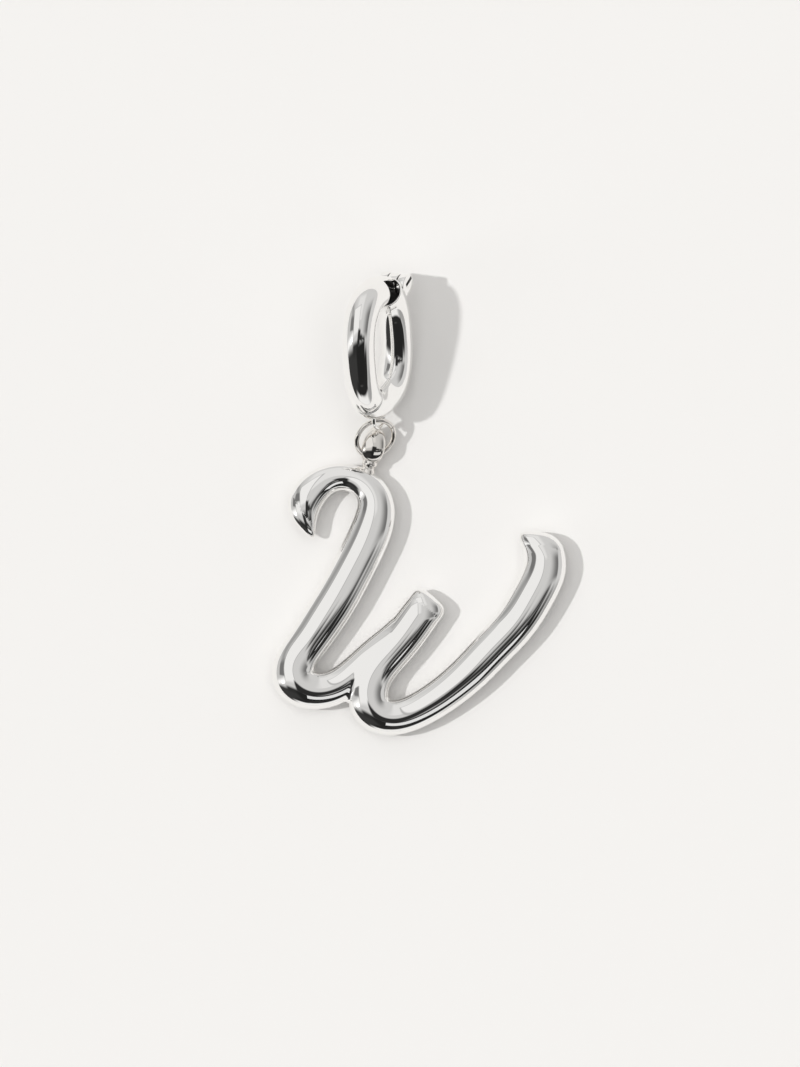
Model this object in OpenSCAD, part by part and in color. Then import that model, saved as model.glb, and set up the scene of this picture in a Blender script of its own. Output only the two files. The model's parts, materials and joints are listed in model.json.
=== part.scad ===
// Initial pendant: a puffed script letter on a jump ring and a hinged oval clip ring, lying on its back.
// Millimetres. X runs across the letter, Y up the pendant towards the clip, Z up from the table.
// The origin is under the middle of the whole pendant, on the table.

/* [Letter] */
// Width of the letter over all of its strokes
letter_w = 30; // [25:0.5:38]
// Height of the letter from its lowest curve to the top of its first bend
letter_h = 27.3; // [23:0.1:35]
// Width of a stroke where it is fullest
stroke_w = 4.4; // [3.8:0.1:5]
// Thickness of a stroke where it is fullest, front to back
stroke_t = 3.4; // [2.8:0.1:4.2]
// How far the cut end of the hook bulges, as a share of half its width
hook_bulge = 0.36; // [0.2:0.02:0.8]
// How far the other two cut ends bulge, as a share of half their width
end_bulge = 0.54; // [0.2:0.02:0.8]

/* [Bail eye] */
// Length of the eye from its neck to its tip
eye_l = 3.9; // [3.4:0.1:4.4]
// Width of the eye's band
eye_w = 2.4; // [1.6:0.1:3]
// Height of the eye, front to back
eye_h = 2.8; // [2.6:0.1:3.2]
// Thickness of the eye's band
eye_wall = 0.45; // [0.3:0.05:0.55]
// Diameter of the neck between the eye and the collar
neck_d = 1; // [0.8:0.1:1.4]
// Length of the neck
neck_l = 0.3; // [0.3:0.1:1]
// Metal between the end of the neck and the eye's hole
neck_wall = 0.25; // [0.2:0.05:0.4]
// Gap between the neck and the jump ring's slanting wire at the middle of the eye
eye_clear = 0.36; // [0.34:0.01:0.4]
// Diameter of the collar that foots the eye on the letter
collar_d = 1.3; // [1.1:0.1:1.8]
// Length of the collar
collar_l = 1.1; // [0.8:0.1:1.6]
// Turn of the eye away from the letter's upright, to the right
eye_turn = 13; // [5:1:20]

/* [Jump ring] */
// Diameter of the jump ring to the middle of its wire
jump_d = 4; // [3.7:0.1:4.6]
// Diameter of its wire
jump_wire = 0.5; // [0.4:0.05:0.6]
// Roll of the jump ring about the pendant's length, left side up
jump_roll = 28; // [10:1:32]
// Turn of the jump ring's long way from the eye to the staple, to the right
jump_turn = 12; // [5:1:20]
// Gap between the ends of the jump ring's wire
jump_gap = 0.06; // [0.04:0.01:0.2]

/* [Clip ring] */
// Length of the oval clip ring over its tube
clip_l = 14.5; // [13.6:0.1:17]
// Width of the oval clip ring over its tube
clip_w = 11.2; // [10.8:0.1:12.4]
// Diameter of the clip ring's tube
tube_d = 3.2; // [2.8:0.1:3.4]
// Lean of the ring's plane away from upright
clip_lean = 26; // [20:0.5:32]
// Roll of the oval in its own plane, hinge end up
clip_roll = 26; // [20:1:30]
// Turn of the ring on the table, hinge end to the right
clip_turn = 8; // [0:1:14]
// Angle on the upper bend where the fixed half ends
frame_end = 51; // [50:1:54]
// Angle on the upper bend where the gate begins
gate_start = 72; // [70:1:80]
// Angle on the lower bend where the gate meets the fixed half
latch_at = 225; // [220:1:235]
// Gap between the two halves at the latch
latch_gap = 0.1; // [0.05:0.01:0.2]
// Depth of the open end of the fixed half's tube
mouth_depth = 1.2; // [0.6:0.1:1.6]
// Wall of the tube round its open end
tube_wall = 0.3; // [0.2:0.05:0.5]

/* [Hinge] */
// Diameter of the outer knuckles
knuckle_d = 2.2; // [2:0.1:2.6]
// Length of the hinge over its outer knuckles
hinge_l = 2.8; // [2.4:0.1:3]
// Angle on the upper bend where the hinge sits
hinge_at = 35; // [32:1:37]
// How far the hinge axis stands outside the tube's surface
hinge_out = 0.12; // [0.1:0.02:0.3]
// Width of the gate's arm and middle knuckle
arm_w = 1; // [0.8:0.1:1.2]
// Thickness of the gate's arm
arm_t = 0.7; // [0.5:0.1:0.9]
// Gap on each side of the gate's arm and round its knuckle
arm_clear = 0.12; // [0.08:0.01:0.2]
// Diameter of the hinge pin
pin_d = 0.6; // [0.5:0.05:0.8]
// Gap round the hinge pin
pin_clear = 0.04; // [0.02:0.01:0.08]

/* [Latch and staple] */
// Diameter of the latch peg on the gate
peg_d = 0.9; // [0.6:0.1:1.2]
// Length of the latch peg
peg_l = 0.7; // [0.4:0.1:1]
// Gap round the latch peg and at its tip
peg_clear = 0.2; // [0.15:0.01:0.3]
// Diameter of the staple to the middle of its wire
staple_d = 2.2; // [2.2:0.1:2.4]
// Diameter of the staple's wire
staple_wire = 0.4; // [0.3:0.05:0.5]
// Angle on the lower bend where the staple is soldered
staple_at = 262; // [256:1:268]
// How far the staple's middle stands outside the tube
staple_rise = 0.1; // [0.05:0.01:0.2]
// Gap between the jump ring's slanting wire and the middle of the staple
staple_clear = 0.26; // [0.22:0.01:0.3]

/* [Hidden] */
SILVER = "silver";
ROUND = 48;
EPS = 0.01;

// First stroke: hook, top bend, long downstroke and first bowl, until it sinks into the stem.
// Each row says how far the stroke's middle lies across and up the letter, and how wide it is there.
// Columns: across as a share of letter_w, up as a share of letter_h, width as a share of stroke_w.
HOOK_STROKE = [
  [0.114, 0.813, 0.71],
  [0.119, 0.853, 0.80],
  [0.139, 0.886, 0.79],
  [0.192, 0.934, 0.66],
  [0.255, 0.947, 0.59],
  [0.319, 0.919, 0.68],
  [0.356, 0.865, 0.82],
  [0.357, 0.810, 0.91],
  [0.342, 0.755, 0.97],
  [0.322, 0.700, 0.97],
  [0.272, 0.590, 0.97],
  [0.226, 0.498, 0.98],
  [0.183, 0.425, 0.96],
  [0.140, 0.352, 0.93],
  [0.102, 0.289, 0.89],
  [0.078, 0.234, 0.99],
  [0.102, 0.183, 0.98],
  [0.157, 0.165, 0.83],
  [0.205, 0.169, 0.82],
  [0.255, 0.198, 0.80],
  [0.312, 0.253, 0.77],
  [0.372, 0.322, 0.68],
  [0.422, 0.388, 0.45]
];
// Second stroke: stem, second bowl and the long rise on the right. The same columns.
STEM_STROKE = [
  [0.493, 0.425, 0.91],
  [0.442, 0.348, 0.91],
  [0.376, 0.264, 0.91],
  [0.339, 0.198, 0.93],
  [0.332, 0.125, 0.95],
  [0.359, 0.084, 0.89],
  [0.409, 0.064, 0.80],
  [0.473, 0.081, 0.80],
  [0.543, 0.121, 0.83],
  [0.613, 0.176, 0.86],
  [0.686, 0.247, 0.91],
  [0.755, 0.328, 0.93],
  [0.820, 0.403, 0.95],
  [0.873, 0.495, 0.98],
  [0.913, 0.582, 0.98],
  [0.927, 0.645, 0.98]
];
// The three cut ends: the same columns, then the direction that the cut faces, in degrees.
HOOK_END = [0.112, 0.769, 0.64, 227];
STEM_END = [0.536, 0.487, 0.86, 49];
RISE_END = [0.902, 0.714, 0.82, 107];
// Where the collar stands on the letter, as shares of letter_w and letter_h
EYE_FOOT = [0.327, 0.944];
// Steps between two rows of a stroke, and sides round it
STEPS = 3;
SIDES = 16;

// Letter: the middle of every stroke lies in one plane
mid_z = stroke_t / 2;

// Bail eye, in its own frame: Y along the eye from the end of its neck, Z as on the letter.
// The rolled wire of the jump ring needs a taller hole where it lies against the neck.
hole_h = eye_h - 2 * eye_wall;
eye_mid = eye_l * 0.55;
wire_room = jump_wire / 2 + eye_clear;
wire_rise = wire_room / cos(jump_roll) + 0.6 * neck_d * tan(jump_roll);
hole_end_r = (pow(wire_rise, 2) + pow(wire_room, 2)) / (2 * wire_room);
seat_in_eye = neck_wall + wire_room;

// Clip ring: an oval of two half round bends and two short straight sides
tube_r = tube_d / 2;
bend_r = clip_w / 2 - tube_r;
bend_y = clip_l / 2 - tube_r - bend_r;
// Farthest that the oval's middle line reaches in a direction of its own plane
function reach(angle) = bend_y * sin(abs(angle)) + bend_r;
// The ring stands on the table with its lowest tube
clip_z = tube_r + reach(clip_roll) * cos(clip_lean);

// Axes of the clip ring on the table: across the oval, along it, and square to its plane
along_table = [sin(clip_turn), cos(clip_turn), 0];
across_table = [cos(clip_turn), -sin(clip_turn), 0];
down_plane = sin(clip_lean) * across_table - [0, 0, cos(clip_lean)];
clip_x = cos(clip_roll) * down_plane + sin(clip_roll) * along_table;
clip_y = cos(clip_roll) * along_table - sin(clip_roll) * down_plane;
function in_clip(p) = p[0] * clip_x + p[1] * clip_y;

// Hinge, on the outside of the upper bend
hinge_reach = bend_r + tube_r + hinge_out;
hinge = [hinge_reach * cos(hinge_at), bend_y + hinge_reach * sin(hinge_at)];
knuckle_r = knuckle_d / 2;

// Staple, on the outside of the lower bend, with the jump ring's wire against its far side
staple_out = bend_r + tube_r + staple_rise;
seat_out = staple_out + staple_d / 2 - staple_wire / 2 - staple_clear - jump_wire / 2;
function on_lower_bend(angle, out) = [out * cos(angle), out * sin(angle) - bend_y];

// Chain of places: collar, eye, jump ring, clip ring, worked out from the letter's corner
eye_dir = [sin(eye_turn), cos(eye_turn), 0];
foot = [EYE_FOOT[0] * letter_w, EYE_FOOT[1] * letter_h, mid_z];
eye_at = foot + (collar_l + neck_l) * eye_dir;
low_seat = eye_at + seat_in_eye * eye_dir;
seat_arm = in_clip(on_lower_bend(staple_at, seat_out));
jump_pitch = asin((clip_z + seat_arm[2] - low_seat[2]) / jump_d);
jump_dir = [sin(jump_turn) * cos(jump_pitch), cos(jump_turn) * cos(jump_pitch), sin(jump_pitch)];
jump_at = low_seat + jump_d / 2 * jump_dir;
clip_at = low_seat + jump_d * jump_dir - seat_arm;

// The pendant's box: the letter gives its width, the letter and the clip ring its length
pull = norm([clip_x[1], clip_y[1]]);
bend_top = pull * reach(atan2(clip_y[1], clip_x[1])) + tube_r;
knuckle_top = in_clip(hinge)[1] + pull * knuckle_r + hinge_l / 2 * sqrt(1 - pow(pull, 2));
clip_top = clip_at[1] + max(bend_top, knuckle_top);
origin = [letter_w / 2, clip_top / 2, 0];

// A value between b and c on a smooth curve that passes through a, b, c and d
function between(a, b, c, d, t) = 0.5 * (2 * b + (c - a) * t + (2 * a - 5 * b + 4 * c - d) * t * t
  + (3 * b - a - 3 * c + d) * t * t * t);
function smooth_row(rows, i, t) = between(rows[max(i - 1, 0)], rows[i], rows[i + 1],
  rows[min(i + 2, len(rows) - 1)], t);
function smoothed(rows) = [for (i = [0 : len(rows) - 2]) for (k = [0 : STEPS - 1])
  smooth_row(rows, i, k / STEPS), rows[len(rows) - 1]];

// One cushion of a stroke at a row, an ellipsoid that is pressed flat towards a cut end
module cushion(row, facing = 0, bulge = 1) {
  half = row[2] * stroke_w / 2;
  translate([row[0] * letter_w, row[1] * letter_h, mid_z])
    rotate([0, 0, facing])
      scale([half * bulge, half, row[2] * stroke_t / 2])
        rotate_extrude($fn = SIDES)
          polygon([for (k = [0 : SIDES / 2]) let (a = k * 360 / SIDES - 90) [max(cos(a), 0), sin(a)]]);
}

module stroke(rows) {
  path = smoothed(rows);
  for (i = [0 : len(path) - 2])
    hull() {
      cushion(path[i]);
      cushion(path[i + 1]);
    }
}

// The closed end of a stroke, from its last row to its cut
module cut_end(row, end, bulge) {
  hull() {
    cushion(row);
    cushion(end, end[3], bulge);
  }
}

module letter() {
  stroke(HOOK_STROKE);
  cut_end(HOOK_STROKE[0], HOOK_END, hook_bulge);
  stroke(STEM_STROKE);
  cut_end(STEM_STROKE[0], STEM_END, end_bulge);
  cut_end(STEM_STROKE[len(STEM_STROKE) - 1], RISE_END, end_bulge);
}

// The olive shaped eye with its neck and collar, along Y from the collar's foot
module bail_eye() {
  neck_end = collar_l + neck_l;
  rotate([-90, 0, 0])
    cylinder(d = collar_d, h = collar_l, $fn = ROUND / 2);
  rotate([-90, 0, 0])
    cylinder(d = neck_d, h = neck_end + eye_wall, $fn = ROUND / 2);
  translate([0, neck_end, 0])
    difference() {
      hull() {
        translate([0, eye_mid, 0])
          scale([eye_w / 2, eye_l - eye_mid, eye_h / 2])
            sphere(r = 1, $fn = ROUND / 2);
        translate([0, neck_d / 2, 0])
          scale([neck_d / 2, neck_d / 2, hole_end_r + neck_wall])
            sphere(r = 1, $fn = ROUND / 2);
      }
      hull() {
        translate([0, neck_wall + hole_end_r, 0])
          rotate([0, 90, 0])
            cylinder(r = hole_end_r, h = 2 * eye_w, center = true, $fn = ROUND / 2);
        translate([0, eye_l - eye_wall - hole_h / 2, 0])
          rotate([0, 90, 0])
            cylinder(d = hole_h, h = 2 * eye_w, center = true, $fn = ROUND / 2);
      }
    }
}

module initial() {
  color(SILVER)
    translate(-origin) {
      letter();
      translate(foot)
        rotate([0, 0, -eye_turn])
          bail_eye();
    }
}

module jump_ring() {
  open = jump_gap / jump_d * 360 / PI;
  color(SILVER)
    translate(jump_at - origin)
      rotate([0, 0, -jump_turn])
        rotate([jump_pitch, 0, 0])
          rotate([0, jump_roll, 0])
            rotate([0, 0, 40])
              rotate_extrude(angle = 360 - open, $fn = 2 * ROUND)
                translate([jump_d / 2, 0])
                  circle(d = jump_wire, $fn = ROUND);
}

// Puts a piece of the clip ring, drawn in the ring's own plane, on the table
module place_clip() {
  translate([clip_at[0], clip_at[1], clip_z] - origin)
    rotate([0, 0, -clip_turn])
      rotate([0, 90 - clip_lean, 0])
        rotate([0, 0, clip_roll])
          children();
}

// Rod round a bend of the oval, by angles from the straight side towards the tip and beyond.
// side is 1 for the right side and -1 for the left, and end is 1 for the upper bend and -1 for the lower.
module bend_part(side, end, radius, from, to) {
  mirror([side < 0 ? 1 : 0, 0, 0])
    mirror([0, end < 0 ? 1 : 0, 0])
      translate([0, bend_y, 0])
        rotate_extrude(angle = to - from, start = from, $fn = 2 * ROUND)
          translate([bend_r, 0])
            circle(r = radius, $fn = ROUND);
}

module straight_part(side) {
  translate([side * bend_r, 0, 0])
    rotate([90, 0, 0])
      cylinder(r = tube_r, h = 2 * bend_y, center = true, $fn = ROUND);
}

module knuckle(d, from, to) {
  translate([hinge[0], hinge[1], from])
    cylinder(d = d, h = to - from, $fn = ROUND);
}

// What the gate's arm and knuckle sweep out of the fixed half
module arm_room() {
  room_w = arm_w + 2 * arm_clear;
  floor_r = bend_r + tube_r - arm_t - arm_clear;
  knuckle(knuckle_d + 2 * arm_clear, -room_w / 2, room_w / 2);
  translate([0, bend_y, 0])
    rotate([0, 0, hinge_at])
      rotate_extrude(angle = gate_start - hinge_at, $fn = 2 * ROUND)
        translate([floor_r, -room_w / 2])
          square([tube_d, room_w]);
}

module peg(d, l) {
  translate([0, -bend_y, 0])
    rotate([0, 0, latch_at])
      translate([bend_r, 0, 0])
        rotate([-90, 0, 0])
          cylinder(d = d, h = l, $fn = ROUND);
}

module clip_frame() {
  latch_open = latch_gap / bend_r * 180 / PI;
  color(SILVER)
    place_clip()
      difference() {
        union() {
          bend_part(1, -1, tube_r, 0, 360 - latch_at - latch_open);
          straight_part(1);
          bend_part(1, 1, tube_r, 0, frame_end);
          knuckle(knuckle_d, -hinge_l / 2, hinge_l / 2);
          translate(on_lower_bend(staple_at, staple_out))
            rotate_extrude($fn = 2 * ROUND)
              translate([staple_d / 2, 0])
                circle(d = staple_wire, $fn = ROUND);
        }
        bend_part(1, 1, tube_r - tube_wall, frame_end - mouth_depth / bend_r * 180 / PI, frame_end + 1);
        arm_room();
        knuckle(pin_d + 2 * pin_clear, -hinge_l, hinge_l);
        peg(peg_d + 2 * peg_clear, peg_l + latch_gap + peg_clear);
      }
}

module clip_gate() {
  arm_r = bend_r + tube_r;
  color(SILVER)
    place_clip()
      difference() {
        union() {
          bend_part(-1, 1, tube_r, 0, 180 - gate_start);
          straight_part(-1);
          bend_part(-1, -1, tube_r, 0, latch_at - 180);
          knuckle(knuckle_d, -arm_w / 2, arm_w / 2);
          translate([0, bend_y, 0])
            rotate([0, 0, hinge_at])
              rotate_extrude(angle = gate_start - hinge_at + 6, $fn = 2 * ROUND)
                translate([arm_r - arm_t, -arm_w / 2])
                  square([arm_t - EPS, arm_w]);
          peg(peg_d, peg_l);
        }
        knuckle(pin_d + 2 * pin_clear, -hinge_l, hinge_l);
      }
}

module hinge_pin() {
  color(SILVER)
    place_clip()
      knuckle(pin_d, -hinge_l / 2, hinge_l / 2);
}

initial();
jump_ring();
clip_frame();
clip_gate();
hinge_pin();
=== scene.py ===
# %% [markdown]
# # A puffed initial pendant in polished silver
# The pendant lies on its back on a pale table: a rounded script letter, a small eye that is soldered to
# its first bend, a jump ring, and an oval clip ring that opens on a hinge to go over a chain.
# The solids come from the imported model, and the pieces here keep their places and very nearly their sizes.
# This lesson gives each of them a smooth mesh and a mirror finish, because polished silver shows every flat
# facet as a broken reflection.
# The pendant's shapes are worked out in millimetres and turned into metres only when a mesh is made.

# %% Load the frame
import json
import math

import bpy
import numpy as np
from mathutils import Matrix, Vector


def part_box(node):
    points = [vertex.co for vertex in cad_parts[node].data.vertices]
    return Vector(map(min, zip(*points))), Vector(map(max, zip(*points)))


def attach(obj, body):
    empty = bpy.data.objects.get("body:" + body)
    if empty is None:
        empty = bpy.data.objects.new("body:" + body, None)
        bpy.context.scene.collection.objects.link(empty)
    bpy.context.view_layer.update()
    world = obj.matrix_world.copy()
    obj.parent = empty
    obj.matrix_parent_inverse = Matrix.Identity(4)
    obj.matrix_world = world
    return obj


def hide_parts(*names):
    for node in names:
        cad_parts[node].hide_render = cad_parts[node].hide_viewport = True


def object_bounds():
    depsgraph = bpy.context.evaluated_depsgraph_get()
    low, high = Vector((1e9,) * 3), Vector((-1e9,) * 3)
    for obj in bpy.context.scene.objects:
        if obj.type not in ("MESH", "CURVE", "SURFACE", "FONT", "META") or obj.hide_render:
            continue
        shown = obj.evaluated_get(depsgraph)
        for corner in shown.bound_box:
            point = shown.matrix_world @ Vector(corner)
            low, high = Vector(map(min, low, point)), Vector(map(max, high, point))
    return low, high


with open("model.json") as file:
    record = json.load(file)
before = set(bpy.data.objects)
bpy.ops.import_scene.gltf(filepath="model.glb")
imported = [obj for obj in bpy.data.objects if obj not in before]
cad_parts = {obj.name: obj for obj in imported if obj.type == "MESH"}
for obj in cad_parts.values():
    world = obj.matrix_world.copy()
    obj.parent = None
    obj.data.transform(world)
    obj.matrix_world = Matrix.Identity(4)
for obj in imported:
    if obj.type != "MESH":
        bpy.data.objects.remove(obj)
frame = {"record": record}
cad_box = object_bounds()
MM = 0.001

# %% [markdown]
# ## Shader maths as plain expressions
# A material is a small sum or product of patterns. Written node by node it would be hard to read, so a
# wire is a socket that knows how to add, multiply and subtract itself, and one method makes any node.

# %% Wires
class Wire:
    """A number, vector or colour in a node tree, held as the socket that gives it."""

    def __init__(self, tree, socket=None):
        self.tree = tree
        self.socket = socket

    def node(self, kind, settings=None, values=None, output=0):
        made = self.tree.nodes.new(kind)
        for name, value in (settings or {}).items():
            setattr(made, name, value)
        for place, value in (values or {}).items():
            if isinstance(value, Wire):
                self.tree.links.new(value.socket, made.inputs[place])
            else:
                made.inputs[place].default_value = value
        return Wire(self.tree, made.outputs[output]) if made.outputs else made

    def maths(self, operation, *values):
        return self.node("ShaderNodeMath", {"operation": operation}, dict(enumerate(values)))

    def __add__(self, other):
        return self.maths("ADD", self, other)

    __radd__ = __add__

    def __mul__(self, other):
        return self.maths("MULTIPLY", self, other)

    __rmul__ = __mul__

    def __sub__(self, other):
        return self.maths("SUBTRACT", self, other)

    def __rsub__(self, other):
        return self.maths("SUBTRACT", other, self)

    def size(self):
        return self.maths("ABSOLUTE", self)

    def root(self):
        return self.maths("SQRT", self)

    def rise(self, low, high):
        """0 below low and 1 above high, with a soft step between."""
        settings = {"interpolation_type": "SMOOTHSTEP"}
        return self.node("ShaderNodeMapRange", settings, {0: self, 1: low, 2: high, 3: 0.0, 4: 1.0})

    def parts(self):
        return [self.node("ShaderNodeSeparateXYZ", None, {0: self}, k) for k in range(3)]


print("wires are ready")

# %% [markdown]
# ## Meshes from millimetres
# Every piece goes through two functions. One makes the mesh and smooths its shading; the other gives it its
# material, ties it to the body that it moves with, and hides the solid that it stands for.

# %% A piece
def make_mesh(name, points, faces, normals=None):
    mesh = bpy.data.meshes.new(name)
    mesh.from_pydata((np.asarray(points) * MM).tolist(), [], [list(map(int, f)) for f in faces])
    mesh.validate()
    mesh.polygons.foreach_set("use_smooth", [True] * len(mesh.polygons))
    if normals is not None:
        mesh.normals_split_custom_set_from_vertices(np.asarray(normals).tolist())
    mesh.update()
    return mesh


def make_piece(name, mesh, material, body, node=None):
    piece = bpy.data.objects.new(name, mesh)
    bpy.context.scene.collection.objects.link(piece)
    mesh.materials.append(material)
    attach(piece, body)
    if node:
        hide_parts(node)
    print(f"{name}: {len(mesh.polygons)} faces")
    return piece


print("one unit of a shape is", MM, "m")

# %% [markdown]
# Most pieces here are rods, and a rod is a stack of rings that all have the same number of points. Quads
# join each ring to the next, and one face closes each end. A piece made of several rods is still one mesh.

# %% Rings and joined parts
def ring_faces(rows, sides):
    """Faces of a closed rod whose points are rows of rings."""
    quads = [[i * sides + j, i * sides + (j + 1) % sides,
              (i + 1) * sides + (j + 1) % sides, (i + 1) * sides + j]
             for i in range(rows - 1) for j in range(sides)]
    first = list(range(sides))[::-1]
    last = [(rows - 1) * sides + j for j in range(sides)]
    return quads + [first, last]


def joined(parts):
    """Points and faces of several parts, as those of one."""
    points, faces = [], []
    for more_points, more_faces in parts:
        faces += [[i + len(points) for i in f] for f in more_faces]
        points += [list(p) for p in more_points]
    return points, faces


print("the shortest square rod has", len(ring_faces(2, 4)), "faces")

# %% [markdown]
# ## Polished silver
# Silver has no colour of its own beyond a slight warmth, so its look is its reflections. The polish is
# not perfect: fine rubbing marks make some patches a little softer than others. The jump ring and the eye
# have the same finish with a darker, warmer tint, which is painted shade for their darker reflections.
# Elsewhere painting the greys on would not do, because everything that one sees in silver is a mirror image.

# %% The silver finish
SILVER_TINT = (0.962, 0.956, 0.944, 1)
# Painted shade: the darker, warmer tint of the jump ring and the eye stands in for their darker reflections
SHADED_SILVER_TINT = (0.88, 0.852, 0.815, 1)
# Painted shade: the near black of the tube's mouth, the latch, the hinge's gaps and the foot's groove
PAINTED_SHADE_TINT = (0.012, 0.011, 0.010, 1)
# Roughness of the polish, what the soft patches add to it, and what the rubbing marks add
POLISH, PATCHES, RUBS = 0.018, 0.03, 0.015
# How close together the marks lie: about this many in a metre
PATCH_SCALE, RUB_SCALE, SHADE_ROUGHNESS_SCALE = 260.0, 2600.0, 900.0


def new_material(name):
    material = bpy.data.materials.new(name)
    material.use_nodes = True
    material.node_tree.nodes.clear()
    return material, Wire(material.node_tree)


def finish_material(material, sheet, values):
    shader = sheet.node("ShaderNodeBsdfPrincipled", None, values)
    sheet.node("ShaderNodeOutputMaterial", None, {"Surface": shader})
    return material


def polished_silver(name, tint):
    material, sheet = new_material(name)
    place = sheet.node("ShaderNodeTexCoord", None, None, "Object")
    patches = sheet.node("ShaderNodeTexNoise", None, {"Vector": place, "Scale": PATCH_SCALE, "Detail": 3.0})
    rubs = sheet.node("ShaderNodeTexNoise", None, {"Vector": place, "Scale": RUB_SCALE, "Detail": 2.0})
    roughness = POLISH + PATCHES * patches.rise(0.45, 0.75) + RUBS * rubs.rise(0.5, 0.8)
    values = {"Base Color": tint, "Metallic": 1.0, "Roughness": roughness}
    return finish_material(material, sheet, values)


# A near black finish whose colour paints the shade into hollows and gaps; its noise varies only the
# roughness
def painted_shade_finish():
    material, sheet = new_material("painted_shade_finish")
    place = sheet.node("ShaderNodeTexCoord", None, None, "Object")
    shade_roughness = sheet.node("ShaderNodeTexNoise", None, {"Vector": place, "Scale": SHADE_ROUGHNESS_SCALE, "Detail": 3.0})
    values = {"Base Color": PAINTED_SHADE_TINT, "Metallic": 0.6, "Roughness": 0.25 + 0.3 * shade_roughness}
    return finish_material(material, sheet, values)


silver = polished_silver("polished_silver", SILVER_TINT)
silver_with_painted_shade = polished_silver("silver_with_painted_shade", SHADED_SILVER_TINT)
inside = painted_shade_finish()
print("materials:", silver.name, silver_with_painted_shade.name, inside.name)

# %% [markdown]
# ## The letter
# The real letter looks like a thick, puffed ribbon that a pen has drawn in two strokes. A pipe along a
# curve would leave a hard seam where the strokes meet. Instead each stroke is a field, which says how far
# any point lies from its skin. Two fields melt into each other with a small fillet, as cast silver does.
# A rough pipe of each stroke is remeshed into one even skin, and its points then slide onto the field.

# %% The two strokes
LETTER_W = 30.0
LETTER_H = 27.3
STROKE_W = 4.4
STROKE_T = 3.4
FLATTEN = STROKE_W / STROKE_T
MID_Z = STROKE_T / 2
# Columns: across as a share of LETTER_W, up as a share of LETTER_H, width as a share of STROKE_W
HOOK_STROKE = [
    (0.114, 0.813, 0.71),
    (0.119, 0.853, 0.80),
    (0.139, 0.886, 0.79),
    (0.192, 0.934, 0.66),
    (0.255, 0.947, 0.59),
    (0.319, 0.919, 0.68),
    (0.356, 0.865, 0.82),
    (0.357, 0.810, 0.91),
    (0.342, 0.755, 0.97),
    (0.322, 0.700, 0.97),
    (0.272, 0.590, 0.97),
    (0.226, 0.498, 0.98),
    (0.183, 0.425, 0.96),
    (0.140, 0.352, 0.93),
    (0.102, 0.289, 0.89),
    (0.078, 0.234, 0.99),
    (0.102, 0.183, 0.98),
    (0.157, 0.165, 0.83),
    (0.205, 0.169, 0.82),
    (0.255, 0.198, 0.80),
    (0.312, 0.253, 0.77),
    (0.372, 0.322, 0.68),
    (0.422, 0.388, 0.45),
]
STEM_STROKE = [
    (0.493, 0.425, 0.91),
    (0.442, 0.348, 0.91),
    (0.376, 0.264, 0.91),
    (0.339, 0.198, 0.93),
    (0.332, 0.125, 0.95),
    (0.359, 0.084, 0.89),
    (0.409, 0.064, 0.80),
    (0.473, 0.081, 0.80),
    (0.543, 0.121, 0.83),
    (0.613, 0.176, 0.86),
    (0.686, 0.247, 0.91),
    (0.755, 0.328, 0.93),
    (0.820, 0.403, 0.95),
    (0.873, 0.495, 0.98),
    (0.913, 0.582, 0.98),
    (0.927, 0.645, 0.98),
]
# The cut ends. The first three columns are the last row of the stroke. The others are the summit of the
# domed cut, across and up, the direction that it faces in degrees, and how much it domes per millimetre.
HOOK_END = (0.112, 0.769, 0.64, 0.094, 0.768, 221, 0.07)
STEM_END = (0.536, 0.487, 0.86, 0.548, 0.512, 52, 0.08)
RISE_END = (0.902, 0.714, 0.82, 0.872, 0.747, 92, 0.09)


def in_mm(rows):
    """Rows of across, up and half width in millimetres."""
    return np.array([r[:3] for r in rows]) * (LETTER_W, LETTER_H, STROKE_W / 2)


hook_rows = in_mm([HOOK_END] + HOOK_STROKE)
stem_rows = in_mm([STEM_END] + STEM_STROKE + [RISE_END])
print("rows of the two strokes:", len(hook_rows), len(stem_rows))

# %% [markdown]
# Straight lines between the rows would show as facets, and a mirror shows a sudden change of bend too. A
# cubic spline goes through every row, and neither its direction nor its bend jumps anywhere.

# %% A smooth curve
class Spline:
    """A smooth curve through rows of across, up and half width, one row for each whole number."""

    def __init__(self, rows):
        self.rows = rows
        self.last = len(rows) - 1
        pull = np.zeros_like(rows)
        ties = np.eye(len(rows))
        for i in range(1, self.last):
            ties[i, i - 1:i + 2] = (1, 4, 1)
            pull[i] = 6 * (rows[i + 1] - 2 * rows[i] + rows[i - 1])
        self.bends = np.linalg.solve(ties, pull)

    def at(self, t):
        """The row at t, and its first and second rates of change."""
        i = np.clip(t.astype(int), 0, self.last - 1)
        u = (t - i)[:, None]
        v = 1 - u
        a, b, m, n = self.rows[i], self.rows[i + 1], self.bends[i], self.bends[i + 1]
        value = v * a + u * b + ((v ** 3 - v) * m + (u ** 3 - u) * n) / 6
        rate = b - a + ((1 - 3 * v ** 2) * m + (3 * u ** 2 - 1) * n) / 6
        return value, rate, v * m + u * n


half_way = Spline(hook_rows).at(np.array([len(hook_rows) / 2]))[0]
print("half way along the hook's stroke:", half_way.round(1))

# %% [markdown]
# Rows that are measured are a little uneven, which a mirror shows as waves. So new rows are taken
# at even steps along the stroke and blurred over a short reach. A blur alone would pull each bend inwards:
# what one blur takes away is added first, so that the bends stay where they are.

# %% Fairing the rows
# Millimetres between the new rows, reach of the blur in millimetres, and fine steps between two new rows
ROW_STEP = 0.9
FAIRING = 1.5
FINE = 30


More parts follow.
